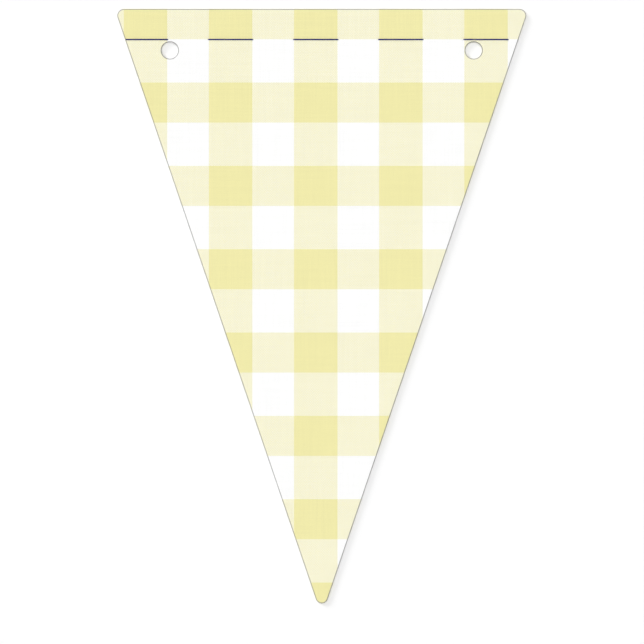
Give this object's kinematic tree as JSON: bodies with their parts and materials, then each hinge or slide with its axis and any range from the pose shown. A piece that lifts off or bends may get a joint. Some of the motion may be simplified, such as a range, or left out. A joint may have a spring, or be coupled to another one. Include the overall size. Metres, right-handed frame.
{
  "type": "gingham bunting pennant",
  "caption": "Flat die-cut pennant of gingham cloth, point down, with rounded corners and a punched hanging hole near each end of its straight edge.",
  "frame": {"origin": "on the back face, under the middle of the pennant's box", "axes": "+X to the right seen from the face, +Y from the point towards the edge with the holes, +Z out of the face"},
  "size_m": [0.1472, 0.214, 0.001],
  "materials": {
    "gingham_cloth": "matt stiffened cotton, checked in pale yellow, cream and white",
    "navy_thread": "matt twisted navy cotton thread"
  },
  "bodies": {
    "root": {"pennant": "gingham_cloth"}
  },
  "joints": []
}
